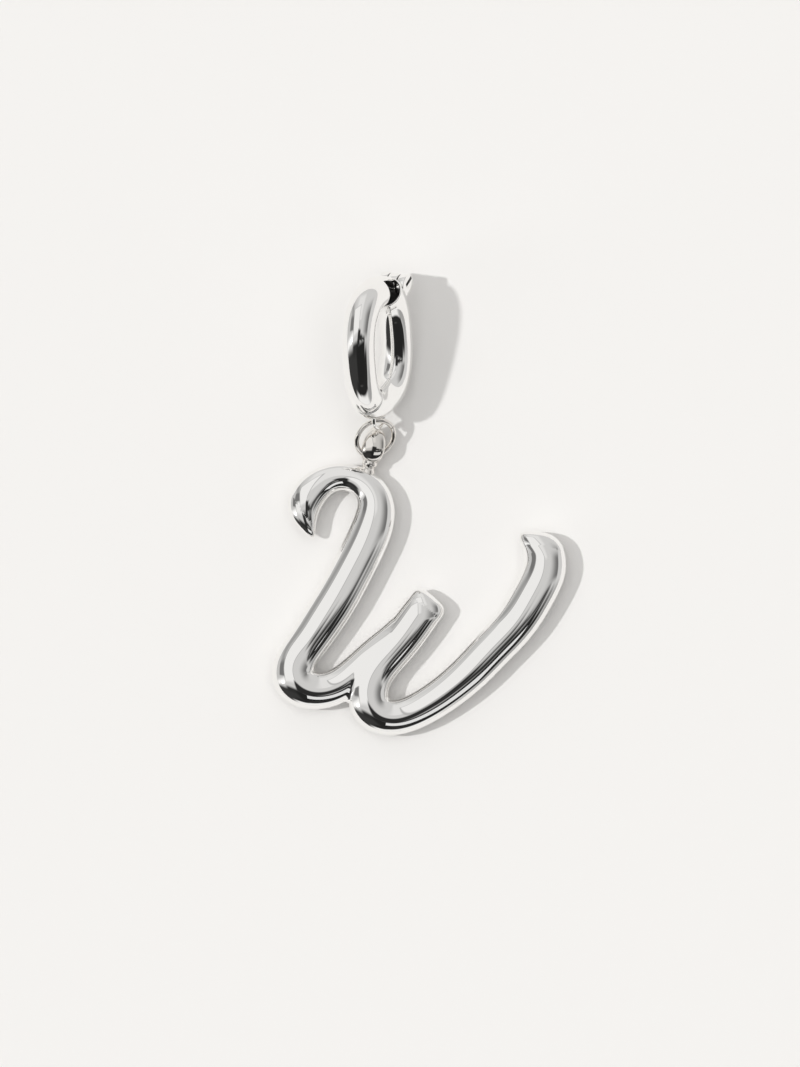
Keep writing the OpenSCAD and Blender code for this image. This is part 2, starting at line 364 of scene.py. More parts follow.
def faired(rows):
    """Rows at even steps along a stroke, with the small unevenness of measured rows taken out."""
    fine = Spline(rows).at(np.linspace(0, len(rows) - 1, (len(rows) - 1) * FINE + 1))[0]
    lengths = np.concatenate([[0], np.cumsum(np.hypot(*np.diff(fine[:, :2], axis=0).T))])
    count = round(lengths[-1] / ROW_STEP)
    even = np.linspace(0, lengths[-1], count * FINE + 1)
    fine = np.array([np.interp(even, lengths, fine[:, k]) for k in range(3)]).T
    reach = round(3 * FAIRING / ROW_STEP * FINE)
    bell = np.exp(-0.5 * (np.arange(-reach, reach + 1) * ROW_STEP / FINE / FAIRING) ** 2)
    bell /= bell.sum()

    def blur(values):
        before = 2 * values[0] - values[reach:0:-1]
        after = 2 * values[-1] - values[-2:-reach - 2:-1]
        padded = np.concatenate([before, values, after])
        return np.array([np.convolve(padded[:, k], bell, "valid") for k in range(3)]).T

    return blur(2 * fine - blur(fine))[::FINE]


print("faired rows of the hook's stroke:", len(faired(hook_rows)))

# %% [markdown]
# A field is worked out for many points at once. Its sign tells inside from outside, and its slope is
# the direction in which the polished skin faces there. For a stroke, the nearest place on its middle line
# is found first: roughly, by trying places all along it, and then more closely in a few small steps.

# %% Field of a stroke
# How far a stroke runs on beyond its cut end
RUN_OUT = 1.6
# Places tried for each row, points handled at once, and rounds of small steps
TRIES, AT_ONCE, ROUNDS = 6, 4000, 5
# Limits that keep the small steps steady where a bend is tight
LEAST_STIFF, LONGEST_STEP = 0.05, 0.3
# Keeps a division from failing at a distance of zero
TINY = 1e-9


def run_out(rows, at_start=True, at_end=True):
    """The rows with a short straight run added beyond each cut end, for the cut to trim."""
    def beyond(last, before):
        step = last - before
        return last + step / np.hypot(*step[:2]) * (RUN_OUT, RUN_OUT, 0)

    first = [beyond(rows[0], rows[1])] if at_start else []
    last = [beyond(rows[-1], rows[-2])] if at_end else []
    return np.array(first + list(rows) + last)


def tube_field(spline, q):
    """Distance from the skin of a stroke, its slope and the half width there, at points whose height
    is stretched so that the stroke is round."""
    grid = np.linspace(0, spline.last, spline.last * TRIES + 1)
    path = spline.at(grid)[0]
    t = np.empty(len(q))
    for start in range(0, len(q), AT_ONCE):
        part = q[start:start + AT_ONCE]
        far = np.hypot(part[:, None, 0] - path[None, :, 0], part[:, None, 1] - path[None, :, 1])
        t[start:start + AT_ONCE] = grid[np.argmin(far - path[None, :, 2], axis=1)]
    for _ in range(ROUNDS):
        row, rate, curve = spline.at(t)
        gap = q[:, :2] - row[:, :2]
        slope = (gap * rate[:, :2]).sum(1)
        stiff = (rate[:, :2] ** 2).sum(1) - (gap * curve[:, :2]).sum(1)
        step = np.clip(slope / np.maximum(stiff, LEAST_STIFF), -LONGEST_STEP, LONGEST_STEP)
        t = np.clip(t + step, 0, spline.last)
    row, rate, curve = spline.at(t)
    gap = np.column_stack([q[:, :2] - row[:, :2], q[:, 2]])
    away = np.linalg.norm(gap, axis=1) + TINY
    stiff = (rate[:, :2] ** 2).sum(1) - (gap[:, :2] * curve[:, :2]).sum(1)
    slope = gap / away[:, None]
    slope[:, :2] -= rate[:, :2] * (rate[:, 2] / np.maximum(stiff, LEAST_STIFF))[:, None]
    return away - row[:, 2], slope, row[:, 2]


hook_spline = Spline(faired(run_out(hook_rows, at_end=False)))
stem_spline = Spline(faired(run_out(stem_rows)))
print("steps along the two strokes:", hook_spline.last, stem_spline.last)

# %% [markdown]
# The real strokes end in a cut that is slightly domed, with edges as soft as a pillow's. Flat ends would
# each show one hard, even reflection. A cut acts only within a few millimetres of its own end, so that it
# can't trim a part of the letter that happens to lie further out in the same direction.

# %% Field of a cut end
# How deep the soft edge goes, how fast the field falls behind it, and how far the cut acts
PILLOW = 1.3
PILLOW_FALL = 0.7
CUT_REACH = 4.4


def cut_field(end, q, half):
    """How far points lie beyond the cut at the end of a stroke, which rounds over like a pillow's
    edge, and its slope."""
    across, up, turn, dome = end[3:]
    facing = np.array([math.cos(math.radians(turn)), math.sin(math.radians(turn)), 0])
    gap = q * (1, 1, 0) - (across * LETTER_W, up * LETTER_H, 0)
    along = gap @ facing
    aside = gap - along[:, None] * facing
    near = np.linalg.norm(gap, axis=1) < CUT_REACH
    behind = along + dome * (aside ** 2).sum(1) + PILLOW
    tilt = facing + 2 * dome * aside
    rise = q[:, 2] * PILLOW / half
    round_over = np.hypot(np.maximum(behind, 0), rise) + TINY
    slope = (np.maximum(behind, 0) / round_over + PILLOW_FALL * (behind < 0))[:, None] * tilt
    slope[:, 2] += rise * PILLOW / half / round_over
    value = round_over - PILLOW + PILLOW_FALL * np.minimum(behind, 0)
    return np.where(near, value, -CUT_REACH), slope


print("a cut rounds over in its last", PILLOW, "mm")

# %% [markdown]
# Where two skins meet, the nearer one counts, and close to the line where they cross the two fields are
# blended, which fills the corner with a fillet. Trimming is the same thing done from the inside: both
# fields are turned inside out, melted together and turned back.

# %% The letter's field
# Reach of the blend where the strokes cross, and where a cut meets its stroke
FILLET = 0.5
EDGE_ROUND = 0.8


def melt(one, other, reach):
    """Joins two fields with a fillet: the nearer skin wins, and they blend within reach."""
    (a, slope_a), (b, slope_b) = one, other
    share = np.clip(0.5 + 0.5 * (b - a) / reach, 0, 1)
    blend = share[:, None]
    return b + (a - b) * share - reach * share * (1 - share), slope_b + (slope_a - slope_b) * blend


def flip(field):
    return -field[0], -field[1]


def trimmed(spline, ends, q):
    """The field of a stroke, cut at its ends."""
    value, slope, half = tube_field(spline, q)
    inside_out = -value, -slope
    for end in ends:
        inside_out = melt(inside_out, flip(cut_field(end, q, half)), EDGE_ROUND)
    return flip(inside_out)


def letter_field(points):
    """Distance from the letter's skin and the direction it faces, at points in the letter's own frame."""
    q = (points - (0, 0, MID_Z)) * (1, 1, FLATTEN)
    hook = trimmed(hook_spline, [HOOK_END], q)
    stem = trimmed(stem_spline, [STEM_END, RISE_END], q)
    value, slope = melt(hook, stem, FILLET)
    return value, slope * (1, 1, FLATTEN)


trial = np.array([[*half_way[0, :2], MID_Z]])
print("the middle of the hook's stroke lies", round(float(-letter_field(trial)[0][0]), 2), "mm deep")

# %% [markdown]
# A voxel remesh turns the two rough pipes into one closed skin of even squares, with no seam where they
# cross. Joining them with a boolean would leave long thin faces along the crossing, which reflect badly.

# %% One rough skin
VOXEL = 0.16
# Sides of a rough pipe, and its rings for each row of the stroke
ROUGH_SIDES = 20
ROUGH_RINGS = 5


def rough_tube(spline):
    """A closed pipe along a stroke, as points and faces."""
    t = np.linspace(0, spline.last, spline.last * ROUGH_RINGS + 1)
    row, rate, _ = spline.at(t)
    side = np.column_stack([rate[:, 1], -rate[:, 0]]) / np.linalg.norm(rate[:, :2], axis=1)[:, None]
    turn = np.linspace(0, 2 * math.pi, ROUGH_SIDES, endpoint=False)
    out = row[:, 2, None] * np.cos(turn)
    points = np.empty((len(t), ROUGH_SIDES, 3))
    points[..., :2] = row[:, None, :2] + out[..., None] * side[:, None]
    points[..., 2] = MID_Z + row[:, 2, None] * np.sin(turn) / FLATTEN
    return points.reshape(-1, 3), ring_faces(len(t), ROUGH_SIDES)


def one_skin(parts, voxel):
    """Remeshes overlapping closed parts, in millimetres, into a single even skin."""
    points, faces = joined(parts)
    mesh = bpy.data.meshes.new("rough")
    mesh.from_pydata([[float(c) for c in p] for p in points], [], faces)
    rough = bpy.data.objects.new("rough", mesh)
    bpy.context.scene.collection.objects.link(rough)
    remesh = rough.modifiers.new("remesh", "REMESH")
    remesh.mode = "VOXEL"
    remesh.voxel_size = voxel
    ready = rough.evaluated_get(bpy.context.evaluated_depsgraph_get()).to_mesh()
    skin = np.array([v.co[:] for v in ready.vertices])
    quads = [list(p.vertices) for p in ready.polygons]
    edges = np.array([e.vertices[:] for e in ready.edges])
    bpy.data.objects.remove(rough)
    return skin, quads, edges


skin, quads, edges = one_skin([rough_tube(hook_spline), rough_tube(stem_spline)], VOXEL)
print("rough skin:", len(skin), "points,", len(quads), "faces")

# %% [markdown]
# The rough skin is only about in place, so its points slide along the slope of the field until they lie on
# it, in rounds that also spread them evenly. The directions that the light bounces off are taken from the
# field too, because they change more smoothly there than over any mesh.

# %% Onto the field
# How far points move towards the middle of their neighbours in each round
SPREADS = (0.6, 0.6, 0.5, 0.3, 0.1)
# Slides in each round, and the longest of them in millimetres
SLIDES, LONGEST_SLIDE = 3, 0.4


def settle(skin, edges, field):
    """Slides points onto a field's skin, and spreads them evenly over it."""
    for spread in SPREADS:
        total = np.zeros_like(skin)
        count = np.zeros(len(skin))
        for a, b in ((0, 1), (1, 0)):
            np.add.at(total, edges[:, a], skin[edges[:, b]])
            np.add.at(count, edges[:, a], 1)
        skin = skin + spread * (total / count[:, None] - skin)
        for _ in range(SLIDES):
            value, slope = field(skin)
            slide = np.clip(value / (slope ** 2).sum(1), -LONGEST_SLIDE, LONGEST_SLIDE)
            skin = skin - slide[:, None] * slope
    value, slope = field(skin)
    worst = np.abs(value).argmax()
    print("largest distance left to the skin, in mm:", round(float(abs(value[worst])), 4))
    print("it is left at", skin[worst].round(1))
    return skin, slope / np.linalg.norm(slope, axis=1)[:, None]


skin, facing = settle(skin, edges, letter_field)

# %% The letter's place
# The stroke of the solid dips this far below the letter's own base line, in millimetres
DIP = 0.0128
corner = np.array([-LETTER_W / 2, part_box("initial")[0].y / MM + DIP, 0])
letter_mesh = make_mesh("letter", skin + corner, quads, facing)
letter = make_piece("letter", letter_mesh, silver, "pendant", "initial")
print("letter corner, in mm:", corner.round(3))

# %% [markdown]
# ## Swept rods
# The eye, the jump ring, the staple and both halves of the clip ring are rods along a path. A sweep lays
# rings along a path that is given as points, each ring at its own place along it and with its own radius.
# Rings that come closer and shrink make a rounded edge, and rings that run back inside make a hollow end.

# %% A path
SIDES = 72
# Half the length, in millimetres, over which a path's direction is measured
FEELER = 0.02


class Path:
    """A path through points in one plane, measured along its length."""

    def __init__(self, points, normal):
        self.points = np.asarray(points, float)
        self.normal = np.asarray(normal, float)
        steps = np.linalg.norm(np.diff(self.points, axis=0), axis=1)
        self.lengths = np.concatenate([[0], np.cumsum(steps)])
        self.length = self.lengths[-1]

    def at(self, s):
        return np.array([np.interp(s, self.lengths, self.points[:, k]) for k in range(3)]).T

    def along(self, s):
        run = self.at(np.minimum(s + FEELER, self.length)) - self.at(np.maximum(s - FEELER, 0))
        return run / np.linalg.norm(run, axis=1)[:, None]


print("rods have", SIDES, "sides")

# %% The sweep
# Radius of the small ring that closes a flat end
CLOSED = 0.02
# The rings that fill the face of a rounded end, as shares of its radius, and how far behind it they lie
FACE_SHARES = (0.02, 0.5)
FACE_BACK = 1e-4


def sweep(path, rings, sides=SIDES):
    """Points and faces of a closed rod. rings are rows of place along the path and radius, or of
    place, half width across the path's plane, height outside the path and height inside it."""
    place, wide, *heights = np.array(rings).T
    outer, inner = heights or (wide, wide)
    along = path.along(place)
    out = np.cross(along, path.normal)
    turn = np.linspace(0, 2 * math.pi, sides, endpoint=False)
    lift = np.where(np.cos(turn) > 0, outer[:, None], inner[:, None]) * np.cos(turn)
    points = (path.at(place)[:, None] + lift[..., None] * out[:, None]
              + (wide[:, None] * np.sin(turn))[..., None] * path.normal)
    return points.reshape(-1, 3), ring_faces(len(place), sides)


def round_end(at, into, radius, edge, steps=6):
    """Rings of a closed end with a rounded edge, from its face inwards. into is 1 or -1 along the path."""
    rows = [(at + into * FACE_BACK, radius * share) for share in FACE_SHARES]
    for a in np.linspace(0, math.pi / 2, steps):
        rows.append((at + into * edge * (1 - math.cos(a)), radius - edge + edge * math.sin(a)))
    return rows


print("a rounded end takes", len(round_end(0, 1, 1.0, 0.1)), "rings")

# %% [markdown]
# ## The clip ring
# It is an oval of polished tube that leans against the table with its hinge end up. The fixed half ends
# in an open, dark mouth beside the hinge. The other half is the gate, which turns on the hinge pin. The
# ring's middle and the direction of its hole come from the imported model, and the rest from a few sizes.

# %% Where the clip ring stands
CLIP_L, CLIP_W, TUBE_R = 14.5, 11.2, 1.6
BEND_R = CLIP_W / 2 - TUBE_R
BEND_Y = CLIP_L / 2 - TUBE_R - BEND_R
CLIP_ROLL, CLIP_TURN = (math.radians(a) for a in (26, 8))
# Places round the ring, in degrees
FRAME_END, GATE_START, LATCH_AT, STAPLE_AT, HINGE_AT = 51, 72, 225, 262, 35
LATCH_GAP = 0.1

hole = frame["record"]["mounts"][0]
clip_centre = np.array(hole["pos_m"]) / MM
clip_normal = np.array(hole["axis"])
along_table = np.array([math.sin(CLIP_TURN), math.cos(CLIP_TURN), 0])
down_plane = np.cross(along_table, clip_normal)
clip_x = math.cos(CLIP_ROLL) * down_plane + math.sin(CLIP_ROLL) * along_table
clip_y = math.cos(CLIP_ROLL) * along_table - math.sin(CLIP_ROLL) * down_plane


def on_clip(points):
    """Points in the clip ring's own frame, put in their place on the table."""
    points = np.asarray(points, float)
    return clip_centre + points @ np.array([clip_x, clip_y, clip_normal])


def oval_point(angle, radius=BEND_R):
    """A point of the oval at an angle on its nearer bend, in degrees."""
    a = math.radians(angle)
    return [radius * math.cos(a), radius * math.sin(a) + math.copysign(BEND_Y, math.sin(a)), 0]


print("ring axes:", clip_x.round(3), clip_y.round(3), clip_normal.round(3))

# %% [markdown]
# Two half circles joined by straight sides would give the reflection a kink at each join, while the real
# ring eases over. One curve that lies between an ellipse and a rectangle has no joins. It reaches less
# than a tenth of a millimetre further than the solid's line, because the photo's ring is that much fuller.

# %% The oval line
# 2 would be an ellipse, and a large power a rectangle
OVAL_POWER = 2.5
OVAL_SWELL = 0.08
LINE_STEPS = 1440


def oval_at(angle):
    """A point of the oval's middle line, at an angle seen from its middle, in degrees."""
    c, d = math.cos(math.radians(angle)), math.sin(math.radians(angle))
    half_w, half_l = BEND_R + OVAL_SWELL, BEND_R + BEND_Y + OVAL_SWELL
    reach = (abs(c / half_w) ** OVAL_POWER + abs(d / half_l) ** OVAL_POWER) ** (-1 / OVAL_POWER)
    return np.array([reach * c, reach * d, 0])


line = [oval_at(a) for a in np.linspace(0, 360, LINE_STEPS, endpoint=False)]
line.append(line[0])
lengths = np.concatenate([[0], np.cumsum(np.linalg.norm(np.diff(line, axis=0), axis=1))])
even = np.linspace(0, lengths[-1], LINE_STEPS, endpoint=False)
oval = np.array([np.interp(even, lengths, np.array(line)[:, k]) for k in range(3)]).T


def oval_path(from_angle, to_angle):
    """The part of the oval between two angles, going up in angle."""
    ends = [np.argmin(np.linalg.norm(oval - oval_point(a), axis=1)) for a in (from_angle, to_angle)]
    count = (ends[1] - ends[0]) % len(oval)
    return Path(on_clip([oval[(ends[0] + k) % len(oval)] for k in range(count + 1)]), clip_normal)


print("oval reaches", np.abs(oval).max(0).round(2))

# %% [markdown]
# The gate is a rod along one side of the oval. A flat arm carries it round to the hinge, and a short peg at
# its other end goes into the fixed half when the clip is shut. The gate's round end is cut back a little
# further than its solid, so that the dark mouth can be seen as in the photo.

# %% The gate's rod
# How much further it is cut back, in degrees
MOUTH_OPENS = 11
RING_STEP = 0.12
EDGE = 0.12
# Where the even rings start, which leaves room for the rounded edge
EDGE_ROOM = 0.2


def middle_rings(start, end, radius):
    return [(s, radius) for s in np.linspace(start, end, int((end - start) / RING_STEP))]


gate_from = GATE_START + MOUTH_OPENS
gate_path = oval_path(gate_from, LATCH_AT)
gate_rings = (round_end(0, 1, TUBE_R, EDGE)
              + middle_rings(EDGE_ROOM, gate_path.length - EDGE_ROOM, TUBE_R)
              + round_end(gate_path.length, -1, TUBE_R, EDGE)[::-1])
print("the gate's line is", gate_path.length.round(2), "mm long")

# %% The hinge's drums and arm
ARM_W, ARM_T, ARM_STEPS = 1.0, 0.7, 30
ARM_CLEAR = 0.12
# How far the arm sinks into the tube, in millimetres, and how far it runs along it, in degrees
ARM_SINK, ARM_RUN = 0.01, 6
KNUCKLE_R, HINGE_L, HINGE_OUT = 1.1, 2.8, 0.12
PIN_R, PIN_PROUD, PIN_EDGE, PIN_SIDES = 0.3, 0.02, 0.05, 32
hinge = np.array(oval_point(HINGE_AT, BEND_R + TUBE_R + HINGE_OUT))


def drum(centre, radius, low, high, edge=0.08, sides=64):
    """A short round drum across the ring's plane, with rounded edges."""
    ends = [on_clip([[centre[0], centre[1], z]])[0] for z in (low, high)]
    path = Path(ends, clip_x)
    length = high - low
    rings = round_end(0, 1, radius, edge, 4) + round_end(length, -1, radius, edge, 4)[::-1]
    return sweep(path, rings, sides)


def arm():
    """The gate's arm: a flat strap on the outside of the bend, from the gate to its knuckle."""
    angles = np.linspace(HINGE_AT, gate_from + ARM_RUN, ARM_STEPS)
    outline = [(-ARM_T, -ARM_W / 2), (0, -ARM_W / 2), (0, ARM_W / 2), (-ARM_T, ARM_W / 2)]
    rows = []
    for angle in angles:
        for lift, aside in outline:
            x, y, _ = oval_point(angle, BEND_R + TUBE_R - ARM_SINK + lift)
            rows.append([x, y, aside])
    return on_clip(rows), ring_faces(len(angles), len(outline))


print("the hinge lies at", hinge.round(2), "in the ring's own frame")

# %% The gate with its peg
# The peg goes on along the line of the gate, into the end of the fixed half
PEG_R, PEG_L, PEG_ROOT, PEG_SIDES = 0.45, 0.7, 0.1, 48
latch_end = gate_path.at(gate_path.length)
ahead = gate_path.along(np.full(1, gate_path.length))[0]
peg_path = Path([latch_end - PEG_ROOT * ahead, latch_end + PEG_L * ahead], clip_normal)
peg = sweep(peg_path, [(0, PEG_R)] + round_end(peg_path.length, -1, PEG_R, EDGE)[::-1], PEG_SIDES)
parts = [sweep(gate_path, gate_rings), arm(), drum(hinge, KNUCKLE_R, -ARM_W / 2, ARM_W / 2), peg]
make_piece("clip_gate_skin", make_mesh("clip_gate_skin", *joined(parts)), silver, "gate", "clip_gate")

# %% [markdown]
# The fixed half is the other side of the oval. At the mouth its rings turn back inside, which gives the
# tube a wall and a hollow end without any cutting.

# %% The fixed half's rod
MOUTH_DEPTH = 1.2
TUBE_WALL = 0.15
# Radius of the outer edge and of the inner edge of the mouth
LIP_OUT, LIP_IN = 0.1, 0.05

frame_path = oval_path(LATCH_AT + math.degrees(LATCH_GAP / BEND_R), 360 + FRAME_END)
mouth = frame_path.length
inner = TUBE_R - TUBE_WALL
lip = [(mouth - LIP_IN * (1 - math.sin(a)), inner + LIP_IN * (1 - math.cos(a)))
       for a in np.linspace(math.pi / 2, 0, 4)]
hollow = [(mouth - d, inner) for d in np.linspace(3 * LIP_IN, MOUTH_DEPTH, 8)]
floor = [(mouth - MOUTH_DEPTH - 0.01, inner * 0.5), (mouth - MOUTH_DEPTH - 0.02, CLOSED)]
frame_rings = (round_end(0, 1, TUBE_R, EDGE)
               + middle_rings(EDGE_ROOM, mouth - EDGE_ROOM, TUBE_R)
               + round_end(mouth, -1, TUBE_R, LIP_OUT)[2:][::-1]
               + lip + hollow + floor)
print("the fixed half's line is", mouth.round(2), "mm long")

# %% [markdown]
# Two knuckles on the fixed half hold the pin. A small ring of wire, the staple, is soldered under its lower
# bend, and the jump ring hangs in it.

# %% The fixed half and the pin
STAPLE_R, STAPLE_WIRE, STAPLE_RISE = 1.1, 0.2, 0.1
WIRE_STEPS = 73


def ring_of_wire(centre, radius, wire, sides=24):
    """A closed ring of wire in the clip ring's plane."""
    around = np.linspace(0, 2 * math.pi, WIRE_STEPS)
    line = [[centre[0] + radius * math.cos(a), centre[1] + radius * math.sin(a), 0] for a in around]
    path = Path(on_clip(line), clip_normal)
    return sweep(path, [(s, wire) for s in np.linspace(0, path.length, WIRE_STEPS)], sides)


staple = oval_point(STAPLE_AT, BEND_R + TUBE_R + STAPLE_RISE)
side_gap = ARM_W / 2 + ARM_CLEAR
parts = [sweep(frame_path, frame_rings),
         drum(hinge, KNUCKLE_R, -HINGE_L / 2, -side_gap),
         drum(hinge, KNUCKLE_R, side_gap, HINGE_L / 2),
         ring_of_wire(staple, STAPLE_R, STAPLE_WIRE)]
frame_mesh = make_mesh("clip_frame_skin", *joined(parts))
make_piece("clip_frame_skin", frame_mesh, silver, "pendant", "clip_frame")
pin_half = HINGE_L / 2 + PIN_PROUD
pin_mesh = make_mesh("hinge_pin_skin", *drum(hinge, PIN_R, -pin_half, pin_half, PIN_EDGE, PIN_SIDES))
make_piece("hinge_pin_skin", pin_mesh, silver, "pendant", "hinge_pin")

# %% [markdown]
# Little light reaches inside the open tube, the gaps of the hinge and the latch, and their shade is painted:
# each of those places gets a thin near black lining of its own, because a dark stripe painted on the
# polished skin would need a mask and would still mirror at its edge.

# %% Painted shade in the mouth and at the latch
# The lining starts this far behind the lip, stays this far off the wall, and is this thick at its side and
# at its floor
LINING_BACK, LINING_OFF, LINING_WALL, LINING_FLOOR = 0.12, 0.02, 0.04, 0.05
LATCH_LINING = 0.03


def make_painted_shade(name, parts, body):
    return make_piece(name, make_mesh(name, *joined(parts)), inside, body)


def thin_disc(path, at, thick, radius):
    return sweep(path, [(at, CLOSED), (at, radius), (at + thick, radius), (at + thick, CLOSED)])


wide = inner - LINING_OFF
narrow = wide - LINING_WALL
deep = mouth - MOUTH_DEPTH + LINING_FLOOR
shallow = mouth - LINING_BACK
lining = [(deep, CLOSED), (deep, wide), (shallow, wide), (shallow, narrow),
          (deep + LINING_FLOOR, narrow), (deep + LINING_FLOOR, CLOSED)]
make_painted_shade("mouth_painted_shade", [sweep(frame_path, lining)], "pendant")
start = frame_path.at(0)
latch = Path([start, start - LATCH_LINING * frame_path.along(np.zeros(1))[0]], clip_normal)
make_painted_shade("latch_painted_shade", [thin_disc(latch, 0, latch.length, TUBE_R - EDGE)], "pendant")

# %% [markdown]
# The two gaps between the knuckles get thin dark discs of painted shade, a little smaller than the knuckles.
# The end of the outer knuckle also looks dark along a short strip, which may be a slot or a gap. A thin dark
# bar of painted shade stands for it.

# %% Painted shade in the hinge's gaps
# Thickness of a dark disc, and how much smaller than its knuckle it is
GAP_FILL, GAP_SINK = 0.08, 0.1
# The strip's middle seen from the hinge, half its length and width, and how far it stands out
STRIP_MIDDLE, STRIP_HALF_L, STRIP_HALF_W, STRIP_PROUD = (0.22, 0.34), 0.6, 0.2, 0.03
STRIP_TURN = math.radians(20)
gap_mid = (ARM_W / 2 + side_gap) / 2
gaps = [drum(hinge, KNUCKLE_R - GAP_SINK, z - GAP_FILL / 2, z + GAP_FILL / 2, 0.01)
        for z in (-gap_mid, gap_mid)]
strip_ends = [[hinge[0] + STRIP_MIDDLE[0] + side * math.cos(STRIP_TURN),
               hinge[1] + STRIP_MIDDLE[1] + side * math.sin(STRIP_TURN), HINGE_L / 2]
              for side in (-STRIP_HALF_L, STRIP_HALF_L)]
strip_ring = (STRIP_PROUD, STRIP_HALF_W, STRIP_HALF_W)
strip = sweep(Path(on_clip(strip_ends), clip_normal), [(0, *strip_ring), (2 * STRIP_HALF_L, *strip_ring)])
make_painted_shade("hinge_gap_painted_shade", gaps + [strip], "pendant")

# %% [markdown]
# ## The jump ring and the bail eye
# The jump ring is round wire, bent into a circle and pushed shut, so its two cut ends nearly touch. It lies
# tilted, with one side through the eye and the other through the staple. Its middle is read from the solid.

# %% The jump ring
JUMP_R, JUMP_WIRE, JUMP_GAP, JUMP_EDGE = 2.0, 0.25, 0.06, 0.03
JUMP_POINTS, JUMP_RINGS, JUMP_SIDES = 181, 150, 28
JUMP_ROLL, JUMP_TURN, JUMP_PITCH = (math.radians(a) for a in (28, 12, 26.8))
# Where the cut ends lie round the ring
JUMP_CUT = math.radians(40)
low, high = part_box("jump_ring")
jump_centre = np.array((low + high) / 2) / MM
lay = (Matrix.Rotation(-JUMP_TURN, 3, "Z") @ Matrix.Rotation(JUMP_PITCH, 3, "X")
       @ Matrix.Rotation(JUMP_ROLL, 3, "Y") @ Matrix.Rotation(JUMP_CUT, 3, "Z"))
lay = np.array(lay)
span = 2 * math.pi - JUMP_GAP / JUMP_R
around = np.linspace(0, span, JUMP_POINTS)
line = np.column_stack([JUMP_R * np.cos(around), JUMP_R * np.sin(around), 0 * around]) @ lay.T
jump_path = Path(line + jump_centre, lay[:, 2])
middle = np.linspace(2 * JUMP_EDGE, jump_path.length - 2 * JUMP_EDGE, JUMP_RINGS)
rings = (round_end(0, 1, JUMP_WIRE, JUMP_EDGE, 4)
         + [(s, JUMP_WIRE) for s in middle]
         + round_end(jump_path.length, -1, JUMP_WIRE, JUMP_EDGE, 4)[::-1])
jump_mesh = make_mesh("jump_ring_skin", *sweep(jump_path, rings, JUMP_SIDES))
# The jump ring's darker, warmer tint is painted shade
jump = make_piece("jump_ring_skin", jump_mesh, silver_with_painted_shade, "pendant", "jump_ring")

# %% [markdown]
# The eye is a flattened loop that stands on a turned foot, soldered to the top of the first bend. The foot
# is round and changes only in width, as if it came from a lathe, so it is a sweep along its own axis.

# %% The eye's foot
# Where the foot stands: across as a share of LETTER_W, up as a share of LETTER_H
EYE_FOOT = (0.327, 0.944)
EYE_TURN = math.radians(13)
FOOT_RINGS, FOOT_SIDES = 80, 48
foot = corner + (EYE_FOOT[0] * LETTER_W, EYE_FOOT[1] * LETTER_H, MID_Z)
up_eye = np.array([math.sin(EYE_TURN), math.cos(EYE_TURN), 0])
right_eye = np.array([math.cos(EYE_TURN), -math.sin(EYE_TURN), 0])
# Rows of the turned foot: distance from the letter, radius
FOOT_PROFILE = [(-0.9, 0.62), (-0.1, 0.64), (0.2, 0.7), (0.5, 0.72), (0.75, 0.68), (0.92, 0.6), (1.0, 0.53),
                (1.08, 0.6), (1.2, 0.7), (1.4, 0.76), (1.6, 0.76), (1.8, 0.72), (2.0, 0.6)]
# The foot's groove, where the dark is painted shade: its place, width and radius
GROOVE_AT, GROOVE_W, GROOVE_R = 1.0, 0.1, 0.53
fine = np.linspace(FOOT_PROFILE[0][0], FOOT_PROFILE[-1][0], FOOT_RINGS)
profile = np.interp(fine, *np.array(FOOT_PROFILE).T)
# A mean of five softens the corners of the profile
profile = np.convolve(np.pad(profile, 2, "edge"), np.ones(5) / 5, "valid")
foot_path = Path([foot + up_eye * d for d in fine], right_eye)
rings = [(0, CLOSED)] + [(s, r) for s, r in zip(fine - fine[0], profile)] + [(foot_path.length, CLOSED)]
turned_foot = sweep(foot_path, rings, FOOT_SIDES)
groove = thin_disc(foot_path, GROOVE_AT - fine[0] - GROOVE_W / 2, GROOVE_W, GROOVE_R)
make_painted_shade("foot_groove_painted_shade", [groove], "pendant")

# %% [markdown]
# The band of the eye lies round its hole like half an olive: broad half way along and narrow at both ends.
# It is a sweep round a stretched circle whose rings grow and shrink.

# %% The eye
COLLAR_L, NECK_L = 1.1, 0.3
# Length and height of the loop, its thickness outside its line, and what it has inside that line
EYE_L, EYE_H, EYE_WALL, EYE_IN = 3.9, 2.8, 0.45, 0.1
EYE_POINTS, EYE_SIDES = 121, 40
# Half widths: at its ends, how much the lower end has more and the upper one less, and what the middle adds
EYE_NARROW, EYE_TAPER, EYE_BELLY = 0.6, 0.12, 0.55
BELLY_POWER = 1.1
HOLE_L, HOLE_H = EYE_L / 2 - EYE_WALL, EYE_H / 2 - EYE_WALL
eye_y = COLLAR_L + NECK_L + EYE_L / 2
around = np.linspace(0, 2 * math.pi, EYE_POINTS)
line = [foot + up_eye * (eye_y + HOLE_L * math.cos(a)) + np.array([0, 0, HOLE_H * math.sin(a)])
        for a in around]
eye_path = Path(line, right_eye)
rings = []
for a, place in zip(around, eye_path.lengths):
    wide = EYE_NARROW - EYE_TAPER * math.cos(a) + EYE_BELLY * abs(math.sin(a)) ** BELLY_POWER
    rings.append((place, wide, EYE_WALL, EYE_IN))
band = sweep(eye_path, rings, EYE_SIDES)
# The eye's darker, warmer tint is painted shade
eye = make_piece("bail_eye", make_mesh("bail_eye", *joined([turned_foot, band])), silver_with_painted_shade, "pendant")

# %% [markdown]
# ## The light
# A polished piece mirrors the whole room. What the skin shows depends only on how far and which way it
# tips from the camera above, so each lamp and dark card is placed by the tip of skin that mirrors it: a
# card at (0.2, -0.3) shows where the skin leans 0.2 to the right and 0.3 down the picture. Level skin
# mirrors the middle, and skin that leans more than 0.7 mirrors the table. The cards were placed to match
# the reflections in the photo. Later cards lie over earlier ones.

# %% The cards of the room
ROOM_LIGHT = 0.62
ROOM_TINT = (1.0, 0.992, 0.98, 1)
